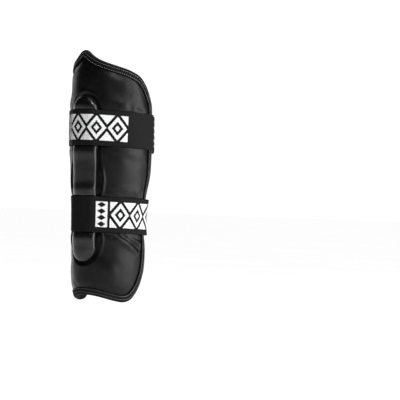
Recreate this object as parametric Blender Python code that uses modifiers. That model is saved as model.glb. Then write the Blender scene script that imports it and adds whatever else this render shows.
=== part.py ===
# Kickboxing shin guard: a padded shell for the front of the lower leg, a raised bar along
# the shin, a woven binding round the shell's edge, and two elastic straps that close behind
# the calf. Metres. +Z runs up the leg, the shin faces -Y, the wearer's left side is +X.
# The origin is on the leg's axis, at the height of the shell's lowest point.

import math

import bmesh
import bpy
import numpy as np

mm = 0.001

# Shell
HEIGHT = 350 * mm
HALF_WIDTH = 58 * mm
FRONT_DEPTH = 59 * mm
SIDE_DEPTH = 28 * mm
EDGE_TUCK = 3 * mm
SHOULDER_DROP = 75 * mm
HEEL_RISE = 85 * mm
PADDING = 12.5 * mm
RIM = 5 * mm
FLANGE = 16 * mm
SWELL = 22 * mm

# Shin bar
BAR_WIDTH = 43 * mm
BAR_LENGTH = 235 * mm
BAR_RAISE = 7.5 * mm
BAR_ROUND = 9 * mm
BAR_EDGE = 1.2 * mm
BAR_DROP = 62 * mm

# Edge binding
BINDING_WIDTH = 8 * mm
BINDING_TAPE = 1.2 * mm

# Straps
STRAP_WIDTH = 50 * mm
STRAP_TAPE = 1.8 * mm
STRAP_EDGE = 0.5 * mm
STRAP_LAP = 42 * mm
LAP_CLIMB = 22 * mm
UPPER_DROP = 84 * mm
LOWER_DROP = 206 * mm
UPPER_SLOPE = math.radians(5.5)
LOWER_SLOPE = math.radians(4)
BEHIND_SLOPE = math.radians(7)
UPPER_CALF = (47 * mm, 64 * mm)
LOWER_CALF = (37 * mm, 43 * mm)
CLOSE_AT = math.radians(55)
TAB_THICK = 1.6 * mm
TAB_LENGTH = 38 * mm
TAB_SHOWS = 8 * mm

# Clearances
GAP = 0.4 * mm
BINDING_GAP = 0.6 * mm
BIGHT_GAP = 0.8 * mm

# Mesh density
SHELL_COLUMNS = 30
SHELL_ROWS = 18
BAR_COLUMNS = 10
BAR_ROWS = 26
STRAP_STEPS = 72
TAB_STEPS = 9
RAYS = 144

# The shell's section at each share of its height, as shares of the half width, the front
# depth and the side depth.
SECTIONS = (
    # height, width, front, side
    (0.00, 0.840, 0.890, 1.00),
    (0.10, 0.855, 0.905, 1.00),
    (0.20, 0.855, 0.905, 1.00),
    (0.30, 0.845, 0.905, 1.00),
    (0.42, 0.890, 0.925, 0.93),
    (0.50, 0.950, 0.950, 0.86),
    (0.60, 0.990, 0.975, 0.79),
    (0.78, 1.000, 1.000, 0.68),
    (0.90, 0.990, 0.980, 0.64),
    (1.00, 0.970, 0.915, 0.62),
)

# The outline, by share of the way round from the shin to the side edge: how far the top
# edge drops, as a share of the shoulder drop, and how far the bottom edge rises, as a
# share of the heel rise.
TOP_EDGE = (
    # round, drop
    (0.00, 0.00),
    (0.04, 0.01),
    (0.10, 0.07),
    (0.19, 0.15),
    (0.30, 0.22),
    (0.47, 0.30),
    (0.66, 0.39),
    (0.80, 0.51),
    (0.90, 0.71),
    (0.96, 0.87),
    (1.00, 1.00),
)
BOTTOM_EDGE = (
    # round, rise
    (0.00, 0.165),
    (0.13, 0.155),
    (0.26, 0.115),
    (0.47, 0.030),
    (0.63, 0.000),
    (0.74, 0.055),
    (0.82, 0.180),
    (0.89, 0.350),
    (0.95, 0.580),
    (1.00, 1.000),
)


def read_table(table, column, at):
    """The smooth curve through a table's column, by its first column."""
    rows = np.array(table)
    keys, values = rows[:, 0], rows[:, column]
    slopes = np.gradient(values, keys)
    at = np.clip(at, keys[0], keys[-1])
    row = np.clip(np.searchsorted(keys, at) - 1, 0, len(keys) - 2)
    step = keys[row + 1] - keys[row]
    t = (at - keys[row]) / step
    start = values[row] * (1 + 2 * t) * (1 - t) ** 2 + values[row + 1] * t**2 * (3 - 2 * t)
    bend = slopes[row] * t * (1 - t) ** 2 + slopes[row + 1] * t**2 * (t - 1)
    return start + step * bend


def ease(t):
    t = np.clip(t, 0, 1)
    return t * t * (3 - 2 * t)


def section(z):
    """Half width, front depth, side depth and quarter length of the shell's section."""
    share = z / HEIGHT
    width = HALF_WIDTH * read_table(SECTIONS, 1, share)
    front = FRONT_DEPTH * read_table(SECTIONS, 2, share)
    side = SIDE_DEPTH * read_table(SECTIONS, 3, share)
    return width, front, side, math.pi / 4 * (width + front)


def way_round(z):
    """Distance over the shell from the shin to its side edge."""
    _, _, side, quarter = section(z)
    return quarter + side


def shell_point(arc, z, out=0.0):
    """The point at a distance arc round from the shin, out from the shell's face."""
    width, front, side, quarter = section(z)
    angle = np.minimum(np.abs(arc) / quarter, 1) * math.pi / 2
    back = np.maximum(np.abs(arc) - quarter, 0)
    x = width * np.sin(angle) - EDGE_TUCK * (back / side) ** 2
    y = back - front * np.cos(angle)
    toward_x = front * np.sin(angle)
    toward_y = 2 * EDGE_TUCK * back / side**2 * front - width * np.cos(angle)
    length = np.hypot(toward_x, toward_y)
    hand = np.where(arc < 0, -1.0, 1.0)
    x = hand * (x + out * toward_x / length)
    y = y + out * toward_y / length
    return np.stack(np.broadcast_arrays(x, y, z), axis=-1)


def edge_heights(share):
    """Bottom and top of the shell at a share of the way round."""
    round_share = np.abs(share)
    bottom = HEEL_RISE * read_table(BOTTOM_EDGE, 1, round_share)
    top = HEIGHT - SHOULDER_DROP * read_table(TOP_EDGE, 1, round_share)
    return bottom, top


def spread(steps, toward_ends):
    """Shares from 0 to 1, closer together at both ends."""
    even = np.linspace(0, 1, steps + 1)
    return even - toward_ends * np.sin(2 * math.pi * even) / (2 * math.pi)


def outline():
    """The shell's edge as a closed row of points, distance round and height."""
    shares = 2 * spread(SHELL_COLUMNS, 0.3) - 1
    rows = spread(SHELL_ROWS, 0.35)
    bottom, top = edge_heights(shares)
    side_low, side_high = edge_heights(np.array(1.0))
    climb = side_low + (side_high - side_low) * rows[1:-1]
    share = np.concatenate([shares, np.ones(len(climb)), shares[::-1], -np.ones(len(climb))])
    height = np.concatenate([top, climb[::-1], bottom[::-1], climb])
    return np.stack([share * way_round(height), height], axis=-1)


def distance_inside(points, loop):
    """Distance of each flat point from a closed row of points."""
    start = loop[None]
    along = np.roll(loop, -1, axis=0)[None] - start
    reach = points[:, None] - start
    t = np.clip((reach * along).sum(-1) / (along**2).sum(-1), 0, 1)
    return np.linalg.norm(reach - t[..., None] * along, axis=-1).min(axis=1)


def bar_height(arc, z):
    """How far the bar stands out of the shell."""
    middle = HEIGHT - BAR_DROP - BAR_LENGTH / 2
    radius = BAR_WIDTH / 2
    past = np.maximum(np.abs(z - middle) - (BAR_LENGTH / 2 - radius), 0)
    inside = radius - np.hypot(arc, past)
    rounding = 1 - np.clip(inside / BAR_ROUND, 0, 1)
    return np.where(inside > 0, BAR_RAISE * np.sqrt(1 - rounding**2), 0.0)


def strap_height(y, front, drop, slope, side):
    """Height of a strap's middle line at a depth y, lower toward the back."""
    start = HEIGHT - drop - STRAP_WIDTH / 2
    return start - math.tan(slope) * (y + front) - math.tan(BEHIND_SLOPE) * np.maximum(y - side, 0)


def worn_outline(z, calf):
    """Sections through shell, bar and calf at the heights z, as one cloud of points each."""
    z = np.atleast_1d(z)[:, None]
    bound = way_round(z) + BIGHT_GAP + BINDING_TAPE
    arc = np.linspace(-1, 1, RAYS)[None] * bound
    rise = bar_height(arc, z)
    bound_edge = np.abs(arc) > bound - BINDING_WIDTH - BIGHT_GAP - 2 * BINDING_TAPE
    out = np.where(bound_edge, BINDING_GAP + BINDING_TAPE, np.where(rise > 0, rise + GAP, 0.0))
    worn = shell_point(arc, z, out)[..., :2]
    half, back = calf
    _, front, _, _ = section(z)
    depth = (back + front - PADDING) / 2
    turn = np.linspace(0, math.pi, RAYS // 2)[None]
    leg = np.stack(np.broadcast_arrays(half * np.cos(turn), back - depth + depth * np.sin(turn)), axis=-1)
    return np.concatenate([worn, np.broadcast_to(leg, (len(z), *leg.shape[1:]))], axis=1)


def taut_radius(angle, z, calf, out):
    """Radius, at an angle round the axis, of a taut loop held out from the worn outline."""
    cloud = worn_outline(z, calf)
    facing = np.linspace(0, 2 * math.pi, 2 * RAYS, endpoint=False)
    normals = np.stack([np.cos(facing), np.sin(facing)])
    support = (cloud @ normals).max(axis=1) + out[:, None]
    lean = np.cos(facing[None] - angle[:, None])
    return np.where(lean > 0.1, support / np.maximum(lean, 0.1), np.inf).min(axis=1)


def strap_points(angle, step, across, out, drop, slope, calf):
    """Points of a taut loop, out from what it goes round, at angles round the axis."""
    start = HEIGHT - drop - STRAP_WIDTH / 2
    _, front, side, _ = section(start)
    level = (front + BAR_RAISE, drop, slope, side)
    # The point nearest each back edge of the shell moves onto that edge.
    z = strap_height(side, *level) + across
    edge = shell_point(way_round(z) + BIGHT_GAP + BINDING_TAPE, z, BINDING_GAP + BINDING_TAPE)
    corner = np.arctan2(edge[:, 1], edge[:, 0])
    for at in (corner, math.pi - corner, 2 * math.pi + corner):
        angle = np.where(np.abs(angle - at) <= step / 2, at, angle)
    y = front * np.sin(angle)
    for _ in range(3):
        z = strap_height(y, *level) + across
        radius = taut_radius(angle, z, calf, out)
        y = radius * np.sin(angle)
    return np.stack([radius * np.cos(angle), y, z], axis=-1)


def material(name, colour, roughness, metallic=0.0):
    made = bpy.data.materials.new(name)
    made.use_nodes = True
    shader = made.node_tree.nodes["Principled BSDF"]
    shader.inputs["Base Color"].default_value = (*colour, 1)
    shader.inputs["Roughness"].default_value = roughness
    shader.inputs["Metallic"].default_value = metallic
    return made


def sheet_object(name, columns, rows, place, finish, collection, closed=False):
    """A grid whose points, shares from 0 to 1 both ways, are placed by a function."""
    grid = bmesh.new()
    bmesh.ops.create_grid(grid, x_segments=columns, y_segments=rows, size=1)
    share = np.array([vert.co for vert in grid.verts])[:, :2] / 2 + 0.5
    for vert, co in zip(grid.verts, place(share[:, 0], share[:, 1])):
        vert.co = co
    if closed:
        bmesh.ops.remove_doubles(grid, verts=grid.verts, dist=0.001 * mm)
    mesh = bpy.data.meshes.new(name)
    grid.to_mesh(mesh)
    grid.free()
    mesh.materials.append(finish)
    mesh.shade_smooth()
    made = bpy.data.objects.new(name, mesh)
    collection.objects.link(made)
    return made


def thicken(made, thickness, outward, shares=None):
    """Makes a sheet a wall, as thick at each point as its share says."""
    wall = made.modifiers.new("wall", "SOLIDIFY")
    wall.thickness = thickness
    wall.offset = outward
    if shares is None:
        return
    group = made.vertex_groups.new(name="padding")
    for index, share in enumerate(shares):
        group.add([index], float(share), "REPLACE")
    wall.vertex_group = group.name


def make_guard_body(finish, collection):
    flat = []

    def place(across, up):
        share = 2 * spread(SHELL_COLUMNS, 0.3)[np.rint(across * SHELL_COLUMNS).astype(int)] - 1
        bottom, top = edge_heights(share)
        climb = spread(SHELL_ROWS, 0.35)[np.rint(up * SHELL_ROWS).astype(int)]
        z = bottom + (top - bottom) * climb
        arc = share * way_round(z)
        flat.append(np.stack([arc, z], axis=-1))
        return shell_point(arc, z)

    made = sheet_object("guard_body", SHELL_COLUMNS, SHELL_ROWS, place, finish, collection)
    inset = distance_inside(flat[0], outline())
    swollen = RIM + (PADDING - RIM) * ease((inset - FLANGE) / SWELL)
    thicken(made, PADDING, -1, swollen / PADDING)
    return made


def make_shin_bar(finish, collection):
    radius = BAR_WIDTH / 2
    straight = BAR_LENGTH / 2 - radius
    middle = HEIGHT - BAR_DROP - BAR_LENGTH / 2
    cap_share = 0.7
    flat = []

    def place(across, up):
        u = np.sin(math.pi / 2 * (2 * across - 1))
        v = 2 * up - 1
        cap = np.clip((np.abs(v) - cap_share) / (1 - cap_share), 0, 1)
        cap = np.sin(math.pi / 2 * cap)
        arc = radius * u * np.sqrt(1 - cap**2 / 2)
        rise = straight * np.minimum(np.abs(v) / cap_share, 1) + radius * cap * np.sqrt(1 - u**2 / 2)
        z = middle + np.sign(v) * rise
        flat.append(np.stack([arc, z], axis=-1))
        return shell_point(arc, z, GAP)

    made = sheet_object("shin_bar", BAR_COLUMNS, BAR_ROWS, place, finish, collection)
    raised = np.maximum(bar_height(flat[0][:, 0], flat[0][:, 1]) - GAP, BAR_EDGE)
    thicken(made, BAR_RAISE, 1, raised / BAR_RAISE)
    return made


def make_edge_binding(finish, collection):
    loop = outline()
    stations = len(loop)
    along = np.roll(loop, -1, axis=0) - np.roll(loop, 1, axis=0)
    inward = np.stack([along[:, 1], -along[:, 0]], axis=-1)
    inward /= np.linalg.norm(inward, axis=-1, keepdims=True)
    # The tape's inner face, from its outer leg round the rim to its inner leg.
    fold = np.array(
        [
            (BINDING_WIDTH, BINDING_GAP),
            (0, BINDING_GAP),
            (-BIGHT_GAP, -RIM / 4),
            (-BIGHT_GAP, -RIM * 3 / 4),
            (0, -RIM - BIGHT_GAP),
            (BINDING_WIDTH, -RIM - BIGHT_GAP),
        ]
    )

    def place(around, over):
        station = np.rint(around * stations).astype(int) % stations
        step = np.rint(over * (len(fold) - 1)).astype(int)
        flat = loop[station] + fold[step, :1] * inward[station]
        return shell_point(flat[:, 0], flat[:, 1], fold[step, 1])

    made = sheet_object(
        "edge_binding", stations, len(fold) - 1, place, finish, collection, closed=True
    )
    thicken(made, BINDING_TAPE, 1)
    return made


def lap_turn(calf):
    """Angle round the axis that the lap of a strap's two ends takes."""
    return STRAP_LAP / (sum(calf) / 2)


def make_strap(name, drop, slope, calf, finish, collection):
    lap = lap_turn(calf)
    lift = STRAP_TAPE + TAB_THICK + 2 * GAP
    climb_turn = LAP_CLIMB * lap / STRAP_LAP

    def place(around, over):
        turned = around * (2 * math.pi + lap)
        across = (over - 0.5) * STRAP_WIDTH
        out = GAP + lift * ease(1 + (turned - 2 * math.pi) / climb_turn)
        step = (2 * math.pi + lap) / STRAP_STEPS
        return strap_points(CLOSE_AT - lap + turned, step, across, out, drop, slope, calf)

    made = sheet_object(name, STRAP_STEPS, 2, place, finish, collection)
    thicken(made, STRAP_TAPE, 1)
    return made


def make_strap_tab(name, drop, slope, calf, finish, collection):
    radius = sum(calf) / 2
    start = CLOSE_AT - (TAB_LENGTH - TAB_SHOWS) / radius
    turn = TAB_LENGTH / radius

    def place(around, over):
        across = (over - 0.5) * (STRAP_WIDTH - 2 * STRAP_EDGE)
        out = np.full(len(around), STRAP_TAPE + 2 * GAP)
        step = turn / TAB_STEPS
        return strap_points(start + around * turn, step, across, out, drop, slope, calf)

    made = sheet_object(name, TAB_STEPS, 2, place, finish, collection)
    thicken(made, TAB_THICK, 1)
    return made


def main():
    for old in list(bpy.data.objects):
        bpy.data.objects.remove(old)
    guard = bpy.data.collections.new("shin guard")
    bpy.context.scene.collection.children.link(guard)
    hide = material("shell hide", (0.012, 0.012, 0.013), 0.42)
    bar_hide = material("bar hide", (0.013, 0.013, 0.014), 0.36)
    tape = material("binding tape", (0.016, 0.016, 0.017), 0.85)
    elastic = material("strap elastic", (0.02, 0.02, 0.021), 0.8)
    hook = material("hook tape", (0.05, 0.05, 0.052), 0.9)
    make_guard_body(hide, guard)
    make_shin_bar(bar_hide, guard)
    make_edge_binding(tape, guard)
    for side, drop, slope, calf in (
        ("upper", UPPER_DROP, UPPER_SLOPE, UPPER_CALF),
        ("lower", LOWER_DROP, LOWER_SLOPE, LOWER_CALF),
    ):
        make_strap(f"{side}_strap", drop, slope, calf, elastic, guard)
        make_strap_tab(f"{side}_strap_tab", drop, slope, calf, hook, guard)


main()
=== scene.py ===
# Kickboxing shin guard: padded hide shell, shin bar, bound edge and two woven elastic straps.
import math

import bpy
import numpy as np
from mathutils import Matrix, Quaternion, Vector


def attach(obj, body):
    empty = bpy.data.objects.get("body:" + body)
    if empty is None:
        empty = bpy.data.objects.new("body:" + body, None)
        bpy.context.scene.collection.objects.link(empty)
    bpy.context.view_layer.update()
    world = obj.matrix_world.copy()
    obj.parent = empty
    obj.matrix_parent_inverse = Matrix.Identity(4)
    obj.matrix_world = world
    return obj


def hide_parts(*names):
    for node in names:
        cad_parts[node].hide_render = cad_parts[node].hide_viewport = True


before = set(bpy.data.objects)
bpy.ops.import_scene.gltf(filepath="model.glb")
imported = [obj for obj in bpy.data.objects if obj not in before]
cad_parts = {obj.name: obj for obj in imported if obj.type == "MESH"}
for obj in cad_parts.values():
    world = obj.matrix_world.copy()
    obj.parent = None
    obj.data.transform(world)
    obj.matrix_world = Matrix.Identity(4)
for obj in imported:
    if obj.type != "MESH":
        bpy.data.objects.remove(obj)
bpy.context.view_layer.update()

mm = 0.001
print("frame loaded")


def readTable(table, column, at):
    # Cubic Hermite curve through the rows, with central differences as its slopes.
    rows = np.array(table)
    keys, values = rows[:, 0], rows[:, column]
    slopes = np.gradient(values, keys)
    at = np.clip(at, keys[0], keys[-1])
    row = np.clip(np.searchsorted(keys, at) - 1, 0, len(keys) - 2)
    step = keys[row + 1] - keys[row]
    t = (at - keys[row]) / step
    start = values[row] * (1 + 2 * t) * (1 - t) ** 2 + values[row + 1] * t**2 * (3 - 2 * t)
    return start + step * (slopes[row] * t * (1 - t) ** 2 + slopes[row + 1] * t**2 * (t - 1))


def ease(t):
    # 3 t squared less 2 t cubed, held to 0 and 1 outside.
    t = np.clip(t, 0, 1)
    return t * t * (3 - 2 * t)


def bell(t):
    # e to the minus t squared.
    return np.exp(-t * t)


def softNoise(u, v, cellU, cellV, seed):
    # Random heights from -1 to 1 on a lattice of cells, eased between the four nearest.
    lattice = np.random.default_rng(seed).uniform(-1, 1, (64, 64))
    u, v = u / cellU + 32.3, v / cellV + 32.7
    iu, iv = np.floor(u).astype(int), np.floor(v).astype(int)
    fu, fv = ease(u - iu), ease(v - iv)
    pick = lambda a, b: lattice[a % 64, b % 64]
    low = pick(iu, iv) * (1 - fu) + pick(iu + 1, iv) * fu
    high = pick(iu, iv + 1) * (1 - fu) + pick(iu + 1, iv + 1) * fu
    return low * (1 - fv) + high * fv


def spread(steps, towardEnds):
    # Even shares less a sine wave, which draws them together at both ends.
    even = np.linspace(0, 1, steps + 1)
    return even - towardEnds * np.sin(2 * math.pi * even) / (2 * math.pi)


# The shell's sizes, in metres.
shell = dict(
    height=350 * mm,
    halfWidth=59 * mm,
    frontDepth=60 * mm,
    sideDepth=28 * mm,
    edgeTuck=8 * mm,
    peakAside=0.125,
    shoulderDrop=75 * mm,
    heelRise=85 * mm,
    padding=12.5 * mm,
    rim=5 * mm,
    columns=190,
    rows=250,
    edgeDip=1.3 * mm,
    dipReach=13 * mm,
    unevenness=0.45 * mm,
    puckers=0.5 * mm,
    gathers=0.4 * mm,
    edgePull=0.35 * mm,
    quilt=0.3 * mm,
)
# Share of the height, then of the half width, front depth, side depth and edge tuck there.
sections = (
    (0.00, 0.735, 0.765, 1.00, 0.38),
    (0.05, 0.820, 0.850, 1.00, 0.38),
    (0.10, 0.845, 0.890, 1.00, 0.40),
    (0.20, 0.850, 0.905, 0.97, 0.58),
    (0.30, 0.845, 0.910, 0.89, 1.00),
    (0.42, 0.885, 0.925, 0.87, 0.82),
    (0.50, 0.950, 0.950, 0.86, 0.50),
    (0.60, 0.990, 0.975, 0.79, 0.38),
    (0.78, 1.000, 1.000, 0.68, 0.38),
    (0.90, 0.980, 0.975, 0.64, 0.38),
    (1.00, 0.910, 0.870, 0.62, 0.38),
)
# Share of the way from the top edge's peak to the side edge, and of the shoulder drop.
topEdge = (
    (0.00, 0.00), (0.04, 0.01), (0.10, 0.07), (0.19, 0.15), (0.30, 0.22), (0.47, 0.30),
    (0.66, 0.39), (0.80, 0.51), (0.90, 0.71), (0.96, 0.87), (1.00, 1.00),
)
# Share of the way from the shin to the side edge, and of the heel rise.
bottomEdge = (
    (0.00, 0.110), (0.13, 0.102), (0.26, 0.072), (0.47, 0.016), (0.63, 0.000),
    (0.74, 0.055), (0.82, 0.180), (0.89, 0.350), (0.95, 0.580), (1.00, 1.000),
)


def section(z):
    # Half width, front depth, side depth, edge tuck and a quarter of the ellipse's round.
    share = z / shell["height"]
    width = shell["halfWidth"] * readTable(sections, 1, share)
    front = shell["frontDepth"] * readTable(sections, 2, share)
    side = shell["sideDepth"] * readTable(sections, 3, share)
    tuck = shell["edgeTuck"] * readTable(sections, 4, share)
    return width, front, side, tuck, math.pi / 4 * (width + front)


def wayRound(z):
    # From the shin to the side edge: a quarter of the ellipse and the straight side.
    _, _, side, _, quarter = section(z)
    return quarter + side


def shellPoint(arc, z, out=0.0):
    # Quarter ellipse from the shin, then a side that runs straight back and tucks in by a
    # square law, moved out along its own level normal.
    width, front, side, tuck, quarter = section(z)
    angle = np.minimum(np.abs(arc) / quarter, 1) * math.pi / 2
    back = np.maximum(np.abs(arc) - quarter, 0)
    x = width * np.sin(angle) - tuck * (back / side) ** 2
    y = back - front * np.cos(angle)
    towardX = front * np.sin(angle)
    towardY = 2 * tuck * back / side**2 * front - width * np.cos(angle)
    size = np.hypot(towardX, towardY)
    hand = np.where(arc < 0, -1.0, 1.0)
    x, y = hand * (x + out * towardX / size), y + out * towardY / size
    return np.stack(np.broadcast_arrays(x, y, z), axis=-1)


def edgeHeights(share):
    # Bottom and top of the shell at a share of the way round, from the two edge tables.
    bottom = shell["heelRise"] * readTable(bottomEdge, 1, np.abs(share))
    aside = share + shell["peakAside"]  # the peak lies to the wearer's right of the shin
    fromPeak = np.abs(aside) / (1 + shell["peakAside"] * np.sign(aside))
    top = shell["height"] - shell["shoulderDrop"] * readTable(topEdge, 1, fromPeak)
    return bottom, top


def outline(columns, rows):
    # The shell's edge, as distance round and height, clockwise seen from outside.
    shares = 2 * spread(columns, 0.3) - 1
    bottom, top = edgeHeights(shares)
    low, high = edgeHeights(np.array(1.0))
    climb = low + (high - low) * spread(rows, 0.35)[1:-1]
    share = np.concatenate([shares, np.ones(len(climb)), shares[::-1], -np.ones(len(climb))])
    height = np.concatenate([top, climb[::-1], bottom[::-1], climb])
    return np.stack([share * wayRound(height), height], axis=-1)


def distanceTo(points, loop):
    # Least distance of each flat point from the loop's straight pieces, in blocks.
    along = np.roll(loop, -1, axis=0) - loop
    blocks = []
    for block in np.array_split(points, max(1, len(points) // 4000)):
        reach = block[:, None] - loop[None]
        t = np.clip((reach * along).sum(-1) / (along**2).sum(-1), 0, 1)
        blocks.append(np.sqrt(((reach - t[..., None] * along) ** 2).sum(-1)).min(axis=1))
    return np.concatenate(blocks)


# The bar's outline

bar = dict(
    width=43 * mm,
    length=235 * mm,
    raised=7.5 * mm,
    rounding=19 * mm,
    drop=62 * mm,
    seamDepth=1.8 * mm,
    grooveWidth=5.0 * mm,
    lip=0.4 * mm,
    lipWidth=1.9 * mm,
    # Height, reach and share of each place where the hide stands off from the bar.
    standsOff=((168 * mm, 22 * mm, 1.0), (84 * mm, 12 * mm, 0.6)),
    standingLip=2.4 * mm,
    gathers=0.35 * mm,
    unevenness=0.3 * mm,
    swell=1.3,
    columns=60,
    rows=190,
)


def barInside(arc, z):
    # Distance inside the bar's outline, a stadium, and minus the distance outside it.
    radius = bar["width"] / 2
    middle = shell["height"] - bar["drop"] - bar["length"] / 2
    past = np.maximum(np.abs(z - middle) - (bar["length"] / 2 - radius), 0)
    return radius - np.hypot(arc, past)


def barHeight(inside, rounding):
    # A quarter circle's rise over the rounding, flat beyond.
    left = 1 - np.clip(inside / rounding, 0, 1)
    return np.where(inside > 0, bar["raised"] * np.sqrt(1 - left**2), 0.0)


# The straps' courses

strap = dict(
    width=50 * mm,
    tape=1.3 * mm,
    climb=10 * mm,
    curl=0.35 * mm,
    pressed=0.9 * mm,  # how deep it sinks into the hide, and the swell beside it
    pressFade=5 * mm,
    swell=1.0 * mm,
    swellAt=9 * mm,
    swellWidth=8 * mm,
    steps=420,
    across=30,
)
tab = dict(shows=8 * mm, thick=1.0 * mm, steps=60)
straps = dict(
    upper=dict(
        drop=83 * mm,
        slope=2.5,
        calf=(44 * mm, 64 * mm),
        lap=16 * mm,
        motifStart=-68 * mm,
        period=197 * mm,
    ),
    lower=dict(
        drop=204 * mm,
        slope=1.5,
        calf=(37 * mm, 43 * mm),
        lap=18 * mm,
        motifStart=24 * mm,
        period=200 * mm,
    ),
)
closeAt, behindSlope = math.radians(57), math.radians(6)
gap = 0.2 * mm


def strapLevel(name, y):
    # Height of a strap's middle line: a steady fall toward the back, steeper behind the shell.
    one = straps[name]
    start = shell["height"] - one["drop"] - strap["width"] / 2
    _, front, side, _, _ = section(start)
    fall = math.tan(math.radians(one["slope"])) * (y + front + bar["raised"])
    return start - fall - math.tan(behindSlope) * np.maximum(y - side, 0)


# Meshes

def quads(rows, columns, wrapRows=False, wrapColumns=False):
    # Corner numbers of every cell of a grid of points, joined end to end where it wraps.
    r, c = np.arange(rows - (not wrapRows)), np.arange(columns - (not wrapColumns))
    r, c = np.meshgrid(r, c, indexing="ij")
    nextR, nextC = (r + 1) % rows, (c + 1) % columns
    corners = [r * columns + c, nextR * columns + c, nextR * columns + nextC, r * columns + nextC]
    return np.stack(corners, -1).reshape(-1, 4)


def putMesh(name, points, faces, looks, uv=None, slots=None):
    # A mesh object from points and four-cornered faces, with a place on the flat for each point.
    mesh = bpy.data.meshes.new(name)
    mesh.vertices.add(len(points))
    mesh.vertices.foreach_set("co", np.asarray(points, np.float32).ravel())
    mesh.loops.add(faces.size)
    mesh.loops.foreach_set("vertex_index", faces.astype(np.int32).ravel())
    mesh.polygons.add(len(faces))
    mesh.polygons.foreach_set("loop_start", np.arange(0, faces.size, 4, dtype=np.int32))
    for look in looks:
        mesh.materials.append(look)
    if slots is not None:
        mesh.polygons.foreach_set("material_index", slots.astype(np.int32))
    if uv is not None:
        layer = mesh.uv_layers.new(name="flat")
        layer.data.foreach_set("uv", np.asarray(uv, np.float32)[faces.ravel()].ravel())
    mesh.update(calc_edges=True)
    mesh.validate()
    mesh.shade_smooth()
    piece = bpy.data.objects.new(name, mesh)
    bpy.context.scene.collection.objects.link(piece)
    return piece


def settle(piece, node=None):
    # Rides on the only body, and stands for a solid where it has one.
    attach(piece, "root")
    if node:
        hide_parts(node)


# Materials

class Wire:
    # An output socket; the operators add Math nodes.
    def __init__(self, look, socket):
        self.look, self.socket = look, socket

    def math(self, operation, *others):
        inputs = {i: value for i, value in enumerate((self, *others))}
        return self.look.node("ShaderNodeMath", dict(operation=operation), inputs)

    def of(self, name):
        return Wire(self.look, self.socket.node.outputs[name])

    def __add__(self, other): return self.math("ADD", other)
    def __radd__(self, other): return self.math("ADD", other)
    def __sub__(self, other): return self.math("SUBTRACT", other)
    def __rsub__(self, other): return self.math("MULTIPLY", -1).math("ADD", other)
    def __mul__(self, other): return self.math("MULTIPLY", other)
    def __rmul__(self, other): return self.math("MULTIPLY", other)
    def __truediv__(self, other): return self.math("DIVIDE", other)
    def __abs__(self): return self.math("ABSOLUTE")
    def __gt__(self, other): return self.math("GREATER_THAN", other)
    def __lt__(self, other): return self.math("LESS_THAN", other)


class Look:
    # A material: its Principled shader, and one method for any other node.
    def __init__(self, name, roughness, specular, sheen=0.0):
        self.material = bpy.data.materials.new(name)
        self.material.use_nodes = True
        self.nodes, self.links = self.material.node_tree.nodes, self.material.node_tree.links
        self.shader = self.nodes["Principled BSDF"]
        for key, value in (("Roughness", roughness), ("Specular IOR Level", specular),
                           ("Sheen Weight", sheen), ("Sheen Roughness", 0.5)):
            self.shader.inputs[key].default_value = value

    def feed(self, node, key, value):
        # A link for a wire, a set value for anything else.
        socket = node.inputs[key]
        if isinstance(value, Wire):
            self.links.new(value.socket, socket)
        else:
            socket.default_value = value

    def node(self, kind, settings=None, inputs=None, out=0):
        made = self.nodes.new(kind)
        for key, value in (settings or {}).items():
            setattr(made, key, value)
        for key, value in (inputs or {}).items():
            self.feed(made, key, value)
        return Wire(self, made.outputs[out])

    def coords(self, kind):
        return self.node("ShaderNodeTexCoord", out=kind)

    def flat(self):
        # Distances along and across the piece, in mm, from its UV map.
        split = self.node("ShaderNodeSeparateXYZ", None, {0: self.coords("UV")})
        return split * 1000, split.of("Y") * 1000

    def wave(self, distance, length):
        return (distance * (2 * math.pi / length)).math("SINE")

    def noise(self, place, scale, detail=2.0, roughness=0.5):
        return self.node("ShaderNodeTexNoise", None,
                         {"Vector": place, "Scale": scale, "Detail": detail, "Roughness": roughness})

    def smooth(self, value, low, high):
        settings = dict(interpolation_type="SMOOTHSTEP")
        return self.node("ShaderNodeMapRange", settings, {"Value": value, "From Min": low, "From Max": high})

    def mix(self, factor, first, second):
        return self.node("ShaderNodeMix", dict(data_type="RGBA"), {0: factor, 6: first, 7: second}, out=2)

    def bump(self, height, distance, strength=1.0, normal=None):
        inputs = {"Height": height, "Distance": distance, "Strength": strength}
        if normal:
            inputs["Normal"] = normal
        return self.node("ShaderNodeBump", None, inputs)

    def dress(self, **sockets):
        for key, value in sockets.items():
            self.feed(self.shader, key.replace("_", " "), value)
        return self.material


def grey(value, tint=0.0):
    return (value, value, value * (1 + tint), 1)


def hideLook(name, tone, roughness, specular):
    # Coated hide: fine pebbles with creases between, on a slow unevenness.
    look = Look(name, roughness, specular)
    place = look.coords("Object")
    pebbles = look.node("ShaderNodeTexVoronoi", dict(feature="DISTANCE_TO_EDGE"), {"Vector": place, "Scale": 820.0})
    creases = look.smooth(pebbles, 0.0, 0.16)
    fine = look.noise(place, 1900.0, 2.0)
    slow = look.noise(place, 55.0, 2.0)
    patches = look.noise(place, 18.0, 3.0)
    normal = look.bump(slow, 0.9 * mm, 0.25)
    normal = look.bump(creases * 0.7 + fine * 0.3, 0.06 * mm, 0.4, normal)
    colour = look.mix(look.smooth(patches, 0.35, 0.7), grey(tone * 0.85, 0.06), grey(tone * 1.2, 0.06))
    rough = roughness - 0.05 + patches * 0.12 - creases * 0.03
    return look.dress(Base_Color=colour, Roughness=rough, Normal=normal)


def liningLook():
    # Knitted lining: small loops in offset rows.
    look = Look("liningKnit", 0.85, 0.2, 0.05)
    u, v = look.flat()
    loops = look.wave(u, 1.1) * look.wave(v, 1.3)
    shade = look.smooth(loops, -1.0, 1.0)
    colour = look.mix(shade, grey(0.008), grey(0.022))
    return look.dress(Base_Color=colour, Normal=look.bump(loops, 0.12 * mm, 0.5))


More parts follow.
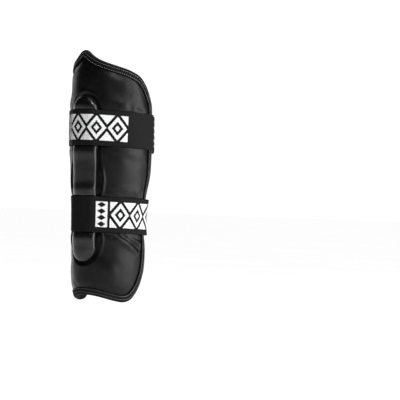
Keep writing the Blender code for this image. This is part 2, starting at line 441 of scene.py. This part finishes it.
def tapeLook():
    # Woven tape: diagonal ribs across its width, on a slight fuzz.
    look = Look("bindingTape", 0.75, 0.04)
    u, v = look.flat()
    weave = look.wave(u + v * 0.6, 1.15) * 0.6 + look.wave(v, 0.8) * 0.4
    fuzz = look.noise(look.coords("Object"), 2500.0, 2.0)
    colour = look.mix(look.smooth(weave + fuzz, -0.6, 1.6), grey(0.0008), grey(0.004))
    return look.dress(Base_Color=colour, Normal=look.bump(weave + fuzz * 0.5, 0.08 * mm, 0.6))


# The ornament woven into the straps, in mm: half its height, one thread, the block of small
# lozenges, and the run of large ones with the length of each.
ornament = dict(half=18.0, thread=0.7, block=16.0, small=9.0, runFrom=20.0, runTo=136.0, large=29.0)


def elasticLook(name, start=None, period=None):
    # Woven elastic. Where it has an ornament, a framed column of small lozenges and a run of
    # large ones are woven in silver, stepped by the thread.
    look = Look(name, 0.68, 0.05)
    u, v = look.flat()
    ribs, picks = look.wave(v, 0.84), look.wave(u, 0.63)
    weave = ribs * 0.65 + ribs * picks * 0.35
    ground = look.mix(look.smooth(weave, -0.9, 1.0), grey(0.001), grey(0.005))
    if start is None:
        return look.dress(Base_Color=ground, Normal=look.bump(weave, 0.07 * mm, 0.6))
    half, thread, block, small, runFrom, runTo, large = ornament.values()
    stepU = (u / thread).math("FLOOR") * thread
    stepV = (v / thread).math("FLOOR") * thread
    inCell = (stepU - start * 1000).math("FLOORED_MODULO", period * 1000)
    run = (inCell > runFrom) * (inCell < runTo)
    cell = abs((inCell - runFrom).math("FLOORED_MODULO", large) - large / 2)
    lozenge = cell / (large / 2) + abs(stepV) / half
    motif = (lozenge < 0.25) + (lozenge > 0.56) * (lozenge < 0.92) + (lozenge > 1.27)
    row = abs((stepV + half).math("FLOORED_MODULO", small) - small / 2)
    gaps = (abs(inCell - block / 2) / 6.0 + row / 4.0) > 1.0
    silver = (motif * run + gaps * (inCell > 0.0) * (inCell < block)) * (abs(stepV) < half)
    speckle = look.smooth(look.noise(look.coords("UV"), 900.0, 2.0, 0.7), 0.34, 0.50)
    silver = (silver * (0.25 + 0.75 * speckle)).math("MINIMUM", 1.0)
    shine = look.mix(look.smooth(weave, -1.0, 0.8), grey(0.20), grey(0.52))
    normal = look.bump(weave * 0.5 + silver, 0.07 * mm, 0.6)
    return look.dress(Base_Color=look.mix(silver, ground, shine), Roughness=0.7 - silver * 0.2, Normal=normal)


def hookLook():
    # Hook tape: rows of small stiff hooks.
    look = Look("hookTape", 0.8, 0.3, 0.1)
    place = look.coords("UV")
    hooks = look.node("ShaderNodeTexVoronoi", None, {"Vector": place, "Scale": 900.0})
    dots = look.smooth(hooks, 0.1, 0.5)
    colour = look.mix(dots, grey(0.13), grey(0.045))
    return look.dress(Base_Color=colour, Normal=look.bump(1 - dots, 0.25 * mm, 0.8))


def threadLook():
    # Polyester thread with a fine twist.
    look = Look("thread", 0.45, 0.4)
    twist = look.noise(look.coords("Object"), 3000.0, 1.0)
    return look.dress(Base_Color=look.mix(twist, grey(0.04), grey(0.14)), Normal=look.bump(twist, 0.05 * mm, 0.5))


shellHide = hideLook("shellHide", 0.0012, 0.36, 0.10)
barHide = hideLook("barHide", 0.0015, 0.27, 0.24)
lining, tapeWeave, hook, thread = liningLook(), tapeLook(), hookLook(), threadLook()
plainElastic = elasticLook("plainElastic")
print("materials made")

# The padded shell

folds = (
    # fromRound, fromHeight, toRound, toHeight, width, depth, in mm
    (54, 95, 90, 74, 3.2, 2.2),
    (70, 92, 98, 84, 2.4, 1.2),
    (86, 262, 104, 268, 2.6, -1.4),
    (78, 270, 92, 264, 2.4, 1.0),
    (28, 158, 60, 150, 5.0, 0.7),
    (30, 208, 70, 199, 5.5, 0.6),
    (26, 66, 58, 46, 7.0, 0.6),
    (-54, 93, -88, 78, 3.0, 1.8),
    (-62, 205, -90, 196, 4.5, 0.8),
    (-84, 264, -102, 270, 2.6, -1.2),
    (-30, 64, -56, 44, 7.0, 0.6),
    (36, 300, 66, 288, 8.0, 0.6),
    (-36, 302, -64, 286, 8.0, 0.6),
)


def foldRelief(arc, z):
    # Each fold is a bell-shaped furrow along a straight line, with a low ridge on its lower side.
    total = 0 * arc
    for fromArc, fromZ, toArc, toZ, width, depth in np.array(folds) * mm:
        alongArc, alongZ = toArc - fromArc, toZ - fromZ
        size = math.hypot(alongArc, alongZ)
        t = ((arc - fromArc) * alongArc + (z - fromZ) * alongZ) / size**2
        off = ((z - fromZ) * alongArc - (arc - fromArc) * alongZ) / size * np.sign(alongArc)
        past = np.maximum(np.maximum(-t, t - 1), 0) * size
        fade = bell(past / (2 * width)) * np.sqrt(np.clip(4 * (t + 0.1) * (1.1 - t), 0, 1))
        total = total - depth * fade * (bell(off / width) - 0.6 * bell((off + 2.2 * width) / (1.4 * width)))
    return total


def strapPress(arc, z):
    # The hide is pressed in under each strap and stands up a little on both sides.
    y = shellPoint(arc, z)[..., 1]
    total, near = 0 * arc, 0 * arc
    for name in straps:
        off = np.abs(z - strapLevel(name, y)) - strap["width"] / 2
        total = total - strap["pressed"] * ease(0.5 - off / strap["pressFade"])
        total = total + strap["swell"] * bell((off - strap["swellAt"]) / strap["swellWidth"])
        near = np.maximum(near, bell((off - 3 * mm) / (10 * mm)))
    return total, near


def shellRelief(arc, z, inset):
    # Pulled in at the bound edge, grooved round the bar, pressed by the straps, puckered near
    # both, with a slow unevenness over all.
    outside = -barInside(arc, z)
    wander = 1 + 0.35 * softNoise(z, arc * 0, 26 * mm, 1, 5)
    stand = sum(share * bell((z - at) / reach) for at, reach, share in bar["standsOff"])
    reach = bar["grooveWidth"] * (wander + 0.9 * stand)
    groove = -bar["seamDepth"] * (1 - ease(outside / reach)) * (outside > -3 * mm)
    lip = (bar["lip"] + bar["standingLip"] * stand) * bell((outside - reach - 1.2 * mm) / bar["lipWidth"])
    pressed, nearStrap = strapPress(arc, z)
    nearGroove = bell((outside - 6 * mm) / (8 * mm))
    pull = shell["puckers"] * softNoise(arc, z, 7 * mm, 22 * mm, 11) * nearStrap
    gather = shell["gathers"] * softNoise(z, arc, 8 * mm, 24 * mm, 12) * nearGroove
    edge = -shell["edgeDip"] * (1 - ease((inset - 5 * mm) / shell["dipReach"]))
    edgePull = shell["edgePull"] * softNoise(arc + z, arc - z, 9 * mm, 14 * mm, 13)
    edgePull = edgePull * bell((inset - 12 * mm) / (7 * mm))
    uneven = softNoise(arc, z, 26 * mm, 34 * mm, 14) + 0.5 * softNoise(arc, z, 12 * mm, 15 * mm, 15)
    calm = ease((inset - 8 * mm) / (12 * mm))
    inner = pressed + pull + gather + shell["unevenness"] * uneven + foldRelief(arc, z)
    return groove + lip + inner * calm + edge + edgePull


def border(rows, columns):
    # Numbers of a grid's border points, in order round it.
    grid = np.arange(rows * columns).reshape(rows, columns)
    return np.concatenate([grid[0], grid[1:, -1], grid[-1, -2::-1], grid[-2:0:-1, 0]])


def makeShell():
    # Two faces on one grid of distance round and height, a padding's thickness apart, joined
    # round the border. The thickness eases from the rim's to the padding's.
    share = (2 * spread(shell["columns"] - 1, -0.25) - 1)[None, :]
    climb = spread(shell["rows"] - 1, 0.25)[:, None]
    bottom, top = edgeHeights(share)
    z = bottom + (top - bottom) * climb
    arc = share * wayRound(z)
    flat = np.stack([arc, z], -1).reshape(-1, 2)
    inset = distanceTo(flat, outline(60, 40)).reshape(arc.shape)
    outer = shellPoint(arc, z, shellRelief(arc, z, inset))
    thick = shell["rim"] + (shell["padding"] - shell["rim"]) * ease((inset - 11 * mm) / (24 * mm))
    quilt = shell["quilt"] * softNoise(arc, z, 18 * mm, 22 * mm, 21)
    inner = shellPoint(arc, z, -thick - quilt * ease((inset - 10 * mm) / (10 * mm)))
    count = arc.size
    face = quads(*arc.shape)
    edge = border(*arc.shape)
    ahead = np.roll(edge, -1)
    rim = np.stack([edge, ahead, ahead + count, edge + count], -1)
    faces = np.concatenate([face[:, ::-1], face + count, rim])
    slots = np.concatenate([np.zeros(len(face)), np.ones(len(face)), np.ones(len(rim))])
    points = np.concatenate([outer.reshape(-1, 3), inner.reshape(-1, 3)])
    uv = np.concatenate([flat, flat])
    piece = putMesh("paddedShell", points, faces, [shellHide, lining], uv, slots)
    settle(piece, "guard_body")


def makeBar():
    # The stadium is a square's rings: straight sides in the middle, and at each end the square
    # is bent to half a disc. The face rises over the outline as a quarter circle.
    radius = bar["width"] / 2
    straight = bar["length"] / 2 - radius
    middle = shell["height"] - bar["drop"] - bar["length"] / 2
    u = np.sin(math.pi / 2 * np.linspace(-1, 1, bar["columns"]))[None, :]
    v = np.linspace(-1, 1, bar["rows"])[:, None]
    split = 0.72
    cap = np.sin(math.pi / 2 * np.clip((np.abs(v) - split) / (1 - split), 0, 1))
    arc = radius * u * np.sqrt(1 - cap**2 / 2)
    rise = straight * np.minimum(np.abs(v) / split, 1) + radius * cap * np.sqrt(1 - u**2 / 2)
    z = middle + np.sign(v) * rise
    inside = barInside(arc, z)
    face = barHeight(inside, bar["rounding"]) * (1 - 0.04 * bell(arc / (9 * mm)))
    pressed, _ = strapPress(arc, z)
    calm = ease(inside / (5 * mm))
    gather = bar["gathers"] * softNoise(z, arc, 9 * mm, 14 * mm, 31) * bell((inside - 4 * mm) / (5 * mm))
    uneven = bar["unevenness"] * softNoise(arc, z, 20 * mm, 30 * mm, 32)
    low = -bar["seamDepth"] + 0.2 * mm
    ramp = ease(inside / (2.5 * mm))
    lift = face + low * (1 - ramp) + (bar["swell"] * pressed + gather + uneven) * calm
    outer = shellPoint(arc, z, np.maximum(lift, low))
    under = shellPoint(arc, z, low - 0.8 * mm + 0 * arc)
    count = arc.size
    cells = quads(*arc.shape)
    edge = border(*arc.shape)
    ahead = np.roll(edge, -1)
    rim = np.stack([edge, ahead, ahead + count, edge + count], -1)
    faces = np.concatenate([cells[:, ::-1], cells + count, rim])
    flat = np.stack([arc, z], -1).reshape(-1, 2)
    points = np.concatenate([outer.reshape(-1, 3), under.reshape(-1, 3)])
    piece = putMesh("shinBar", points, faces, [barHide], np.concatenate([flat, flat]))
    settle(piece, "shin_bar")


makeShell()
makeBar()
print("padded pieces made")

# The bound edge

binding = dict(
    width=8 * mm,
    tape=1.3 * mm,
    bight=0.8 * mm,
    furrows=(1.9 * mm, 6.3 * mm),
    furrowWidth=0.55 * mm,
    furrowDepth=0.32 * mm,
    stitch=2.5 * mm,
    thread=0.55 * mm,
    stations=900,
)


def boundLoop():
    # The shell's edge at even steps, eased by a running mean, with the direction into the shell.
    loop = outline(240, 120)
    closed = np.concatenate([loop, loop[:1]])
    run = np.concatenate([[0], np.cumsum(np.hypot(*np.diff(closed, axis=0).T))])
    at = np.linspace(0, run[-1], binding["stations"], endpoint=False)
    loop = np.stack([np.interp(at, run, closed[:, k]) for k in (0, 1)], -1)
    for _ in range(3):
        loop = sum(np.roll(loop, k, axis=0) for k in range(-3, 4)) / 7
    along = np.roll(loop, -1, axis=0) - np.roll(loop, 1, axis=0)
    inward = np.stack([along[:, 1], -along[:, 0]], -1)
    return loop, inward / np.linalg.norm(inward, axis=-1, keepdims=True), at


def tapeRise(inset):
    # The tape's outer face: two stitched furrows, a low pillow between, and a rounded edge.
    furrow = sum(bell((inset - at) / binding["furrowWidth"]) for at in binding["furrows"])
    rounded = 0.5 * mm * (1 - ease((binding["width"] - inset) / (1.2 * mm)))
    return binding["tape"] - binding["furrowDepth"] * furrow - rounded


def makeBinding():
    # The tape's section carried round the shell's edge: inset from the edge, and out from the shell.
    loop, inward, at = boundLoop()
    reach = np.linspace(binding["width"], 0, 14)
    sink = -0.7 * mm
    turn = np.linspace(math.pi / 2, -math.pi / 2, 9)[1:-1]
    half = (shell["rim"] + 2 * binding["tape"] + 0.2 * mm) / 2
    bight = binding["bight"] + binding["tape"]
    # Inset and out of each point of the tape's section: outer face, fold, inner face, then back
    # along the side that lies on the shell.
    middle = -shell["rim"] / 2 + sink / 2
    outer = np.stack([reach, sink + tapeRise(reach) + 0.3 * mm], -1)
    fold = np.stack([-bight * np.cos(turn), middle + (half + sink / 2) * np.sin(turn)], -1)
    inner = np.stack([reach[::-1], -shell["rim"] - tapeRise(reach[::-1]) - 0.1 * mm], -1)
    back = np.array([
        (binding["width"], -shell["rim"] - 0.1 * mm),
        (binding["width"] * 0.4, -shell["rim"] / 2),
        (binding["width"], sink - 0.2 * mm),
    ])
    profile = np.concatenate([outer, fold, inner, back])
    slack = 0.12 * mm * softNoise(at, at * 0, 11 * mm, 1, 41)
    flat = loop[:, None] + profile[None, :, :1] * inward[:, None]
    out = profile[None, :, 1] + slack[:, None] * (profile[None, :, 0] > 0)
    points = shellPoint(flat[..., 0], flat[..., 1], out)
    faces = quads(*points.shape[:2], wrapRows=True, wrapColumns=True)[:, ::-1]
    over = np.concatenate([[0], np.cumsum(np.hypot(*np.diff(profile, axis=0).T))])
    uv = np.stack(np.broadcast_arrays(at[:, None], over[None]), -1).reshape(-1, 2)
    piece = putMesh("edgeBinding", points.reshape(-1, 3), faces, [tapeWeave], uv)
    settle(piece, "edge_binding")
    return loop, inward


def stitchMesh(name, middles, ways, ups, length, thick):
    # Each stitch is a short bent rod: five rings of six points, high in the middle.
    along = np.array([-0.5, -0.42, 0.0, 0.42, 0.5]) * length
    size = np.array([0.15, 0.85, 1.0, 0.85, 0.15]) * thick / 2
    lift = np.array([-0.6, -0.1, 0.25, -0.1, -0.6]) * thick
    turn = np.linspace(0, 2 * math.pi, 6, endpoint=False)
    side = np.cross(ways, ups)
    points = (middles[:, None, None] + along[None, :, None, None] * ways[:, None, None]
              + (lift[:, None] + size[:, None] * np.sin(turn))[None, ..., None] * ups[:, None, None]
              + (size[:, None] * np.cos(turn))[None, ..., None] * side[:, None, None])
    count = len(middles)
    one = quads(5, 6, wrapColumns=True)
    faces = (one[None] + (np.arange(count) * 30)[:, None, None]).reshape(-1, 4)
    settle(putMesh(name, points.reshape(-1, 3), faces, [thread]))


def makeBindingStitches(loop, inward):
    # Two rows outside and one inside, a stitch every 3.3 mm.
    run = np.arange(0, len(loop), 3)
    middles, ways, ups = [], [], []
    rows = [(inset, 0.62 * mm, 1) for inset in binding["furrows"]]
    for inset, out, sign in rows + [(6.0 * mm, -shell["rim"] - 1.2 * mm, -1)]:
        flat = loop + inset * inward
        point = shellPoint(flat[:, 0], flat[:, 1], out + 0 * flat[:, 0])
        above = shellPoint(flat[:, 0], flat[:, 1], out + sign * mm + 0 * flat[:, 0])
        way = np.roll(point, -1, axis=0) - np.roll(point, 1, axis=0)
        middles.append(point[run])
        ways.append((way / np.linalg.norm(way, axis=-1, keepdims=True))[run])
        ups.append(((above - point) / np.linalg.norm(above - point, axis=-1, keepdims=True))[run])
    placed = map(np.concatenate, (middles, ways, ups))
    stitchMesh("bindingStitches", *placed, binding["stitch"], binding["thread"])


makeBindingStitches(*makeBinding())
print("binding made")

# The straps

def wornCloud(z, calf):
    # Level section points of shell, bar and bound edge, then the half ellipse of the calf.
    z = z[:, None]
    bound = wayRound(z) + binding["bight"] + 1.2 * mm
    arc = np.linspace(-1, 1, 144)[None] * bound
    rise = barHeight(barInside(arc, z), 9 * mm)
    atEdge = np.abs(arc) > bound - binding["width"] - binding["bight"] - 2.4 * mm
    worn = shellPoint(arc, z, np.where(atEdge, 1.1 * mm, np.where(rise > 0, rise, 0.0)))[..., :2]
    half, back = calf
    depth = (back + section(z)[1] - shell["padding"]) / 2
    turn = np.linspace(0, math.pi, 72)[None]
    leg = np.stack(np.broadcast_arrays(half * np.cos(turn), back - depth + depth * np.sin(turn)), -1)
    return np.concatenate([worn, leg], axis=1)


def tautField(name):
    # Support distances, in 288 directions, of the worn section at 24 heights: a loop drawn
    # taut round it, held out by a distance, is where the support lines meet.
    one = straps[name]
    levels = np.linspace(-70, 45, 24) * mm + shell["height"] - one["drop"] - strap["width"] / 2
    facing = np.linspace(0, 2 * math.pi, 288, endpoint=False)
    normals = np.stack([np.cos(facing), np.sin(facing)])
    return levels, facing, (wornCloud(levels, one["calf"]) @ normals).max(axis=1)


def strapPoints(name, field, angle, across, out):
    # Radius at an angle is the least of support over the cosine of the angle between.
    levels, facing, support = field
    lean = np.cos(facing[None] - angle[:, None])
    least = np.where(lean > 0.15, 1 / np.maximum(lean, 0.15), np.inf)
    radii = np.stack([((row[None] + np.asarray(out)[:, None]) * least).min(axis=1) for row in support])
    y = radii[len(levels) // 2] * np.sin(angle)
    y = np.repeat(y[:, None], len(across), axis=1)
    for _ in range(3):
        z = strapLevel(name, y) + across[None]
        at = np.clip((z - levels[0]) / (levels[1] - levels[0]), 0, len(levels) - 1.001)
        row = at.astype(int)
        column = np.broadcast_to(np.arange(len(angle))[:, None], z.shape)
        radius = radii[row, column] * (1 - at + row) + radii[row + 1, column] * (at - row)
        y = radius * np.sin(angle)[:, None]
    return np.stack([radius * np.cos(angle)[:, None], y, z], -1)


def bandMesh(name, strapName, field, angle, out, thick, width, looks, curl):
    # A flat profile with round edges, carried round the leg: inner face at out, outer at out
    # and thick, its edges curling in and out a little.
    across = np.linspace(-0.5, 0.5, strap["across"]) * width
    inner = strapPoints(strapName, field, angle, across, out)
    outer = strapPoints(strapName, field, angle, across, out + thick)
    away = outer - inner
    away /= np.linalg.norm(away, axis=-1, keepdims=True)
    run = np.linalg.norm(np.diff(inner[:, strap["across"] // 2], axis=0), axis=-1)
    run = np.concatenate([[0], np.cumsum(run)])
    u, v = np.broadcast_arrays(run[:, None], across[None])
    fromMiddle = np.abs(2 * v / width)
    wave = curl * softNoise(u, v, 17 * mm, 30 * mm, 51) * (0.3 + 0.7 * fromMiddle**3)
    thin = 0.22 * mm * (1 - ease((1 - fromMiddle) * width / (2 * mm)))
    inner = inner + away * (wave + thin)[..., None]
    outer = outer + away * (wave - thin)[..., None]
    ring = np.concatenate([outer, inner[:, ::-1]], axis=1)
    count, size = ring.shape[:2]
    body = quads(count, size, wrapColumns=True)
    k = np.arange(size // 2 - 1)
    first = np.stack([k, k + 1, size - 2 - k, size - 1 - k], -1)
    last = first[:, ::-1] + (count - 1) * size
    inside = np.tile(np.arange(size) >= size // 2 - 1, count - 1)
    slots = np.concatenate([inside, np.zeros(2 * len(k))]) * (len(looks) - 1)
    # Distance along the band from the middle of the shin.
    front = np.interp(1.5 * math.pi, angle, run)
    flat = np.stack([np.concatenate([u - front, u - front], 1), np.concatenate([v, v[:, ::-1]], 1)], -1)
    faces = np.concatenate([body, first, last])
    return putMesh(name, ring.reshape(-1, 3), faces, looks, flat.reshape(-1, 2), slots)


def makeStrap(name):
    # A whole turn and a lap: the band climbs over its own start and the hook tape under its end.
    one = straps[name]
    field, radius = tautField(name), sum(one["calf"]) / 2
    lap, climbTurn, shows = (length / radius for length in (one["lap"], strap["climb"], tab["shows"]))
    turned = np.linspace(0, 2 * math.pi + lap, strap["steps"])
    lift = strap["tape"] + tab["thick"] + 2 * gap
    out = gap + lift * ease(1 + (turned - 2 * math.pi) / climbTurn)
    looks = [elasticLook(name + "Elastic", one["motifStart"], one["period"]), plainElastic]
    angle = closeAt - lap + turned
    sizes = (strap["tape"], strap["width"], looks, strap["curl"])
    band = bandMesh(name + "Strap", name, field, angle, out, *sizes)
    settle(band, name + "_strap")
    angle = closeAt + np.linspace(2 * mm / radius - lap, shows, tab["steps"])
    hold = np.full(tab["steps"], strap["tape"] + 2 * gap)
    sizes = (tab["thick"], strap["width"] - 1 * mm, [hook], strap["curl"] / 3)
    band = bandMesh(name + "Tab", name, field, angle, hold, *sizes)
    settle(band, name + "_strap_tab")


for strapName in straps:
    makeStrap(strapName)
print("straps made")

# Stage, light and camera

studio = dict(
    azimuth=38.0,
    distance=3500 * mm,
    frameWidth=568 * mm,
    aside=128.4 * mm,
    middle=145.5 * mm,
    roll=1.9,
    floor=-100 * mm,
    world=0.03,
    backdrop=1.05,
)
# Azimuth, elevation, distance, width, height and power of each soft box.
softBoxes = dict(
    rightStrip=(110, 6, 1.5, 1.6, 1.6, 74),
    rightHigh=(54, 42, 1.4, 0.45, 0.3, 22),
    leftStrip=(-104, 12, 1.6, 0.3, 1.5, 4),
    front=(30, 66, 2.2, 1.6, 1.0, 10),
)


def aimed(azimuth, elevation):
    # The way from the part toward an azimuth and elevation, and the turn that looks back.
    a, e = math.radians(azimuth), math.radians(elevation)
    away = Vector((math.sin(a) * math.cos(e), -math.cos(a) * math.cos(e), math.sin(e)))
    return away, (-away).to_track_quat("-Z", "Y")


def addLamp(name, kind, azimuth, elevation, distance, **settings):
    # Aimed at the middle of the part from a distance.
    away, turn = aimed(azimuth, elevation)
    lamp = bpy.data.objects.new(name, bpy.data.lights.new(name, kind))
    for key, value in settings.items():
        setattr(lamp.data, key, value)
    lamp.location = away * distance + Vector((0, 0, shell["height"] / 2))
    lamp.rotation_euler = turn.to_euler()
    bpy.context.scene.collection.objects.link(lamp)


def makeFloor():
    # A pale flat sheet, well below the part.
    across = np.linspace(-30, 30, 9)
    x, y = np.meshgrid(across, across, indexing="ij")
    points = np.stack([x, y, studio["floor"] + 0 * x], -1).reshape(-1, 3)
    look = Look("paleFloor", 0.9, 0.1)
    cloudy = look.noise(look.coords("Object"), 2.0, 2.0)
    look.dress(Base_Color=look.mix(cloudy, grey(0.88), grey(0.92)))
    putMesh("floor", points, quads(9, 9), [look.material])


def makeWorld():
    # White where the camera sees it, and dim as a light, as the walls of a studio are.
    world = bpy.data.worlds.new("studio")
    world.use_nodes = True
    nodes, links = world.node_tree.nodes, world.node_tree.links
    path, mix = nodes.new("ShaderNodeLightPath"), nodes.new("ShaderNodeMixShader")
    dim, white = nodes["Background"], nodes.new("ShaderNodeBackground")
    for node, strength in ((dim, studio["world"]), (white, studio["backdrop"])):
        node.inputs["Color"].default_value = (1, 1, 1, 1)
        node.inputs["Strength"].default_value = strength
    links.new(path.outputs["Is Camera Ray"], mix.inputs[0])
    links.new(dim.outputs[0], mix.inputs[1])
    links.new(white.outputs[0], mix.inputs[2])
    links.new(mix.outputs[0], nodes["World Output"].inputs["Surface"])
    bpy.context.scene.world = world


def makeCamera():
    # Level with the part's middle and far off, rolled by the leg's lean.
    away, turn = aimed(studio["azimuth"], 0)
    camera = bpy.data.objects.new("camera", bpy.data.cameras.new("camera"))
    camera.data.lens = camera.data.sensor_width * studio["distance"] / studio["frameWidth"]
    camera.data.clip_end = 100
    right = turn @ Vector((1, 0, 0))
    camera.location = away * studio["distance"] + right * studio["aside"] + Vector((0, 0, studio["middle"]))
    camera.rotation_euler = (turn @ Quaternion((0, 0, 1), math.radians(studio["roll"]))).to_euler()
    bpy.context.scene.collection.objects.link(camera)
    bpy.context.scene.camera = camera


makeFloor()
makeWorld()
makeCamera()
for name, (azimuth, elevation, distance, width, height, power) in softBoxes.items():
    addLamp(name, "AREA", azimuth, elevation, distance, shape="RECTANGLE", size=width, size_y=height, energy=power)
addLamp("backSun", "SUN", 205, 52, 3, energy=4.2, angle=math.radians(35))
bpy.context.scene.view_settings.view_transform = "Standard"
print("stage made")
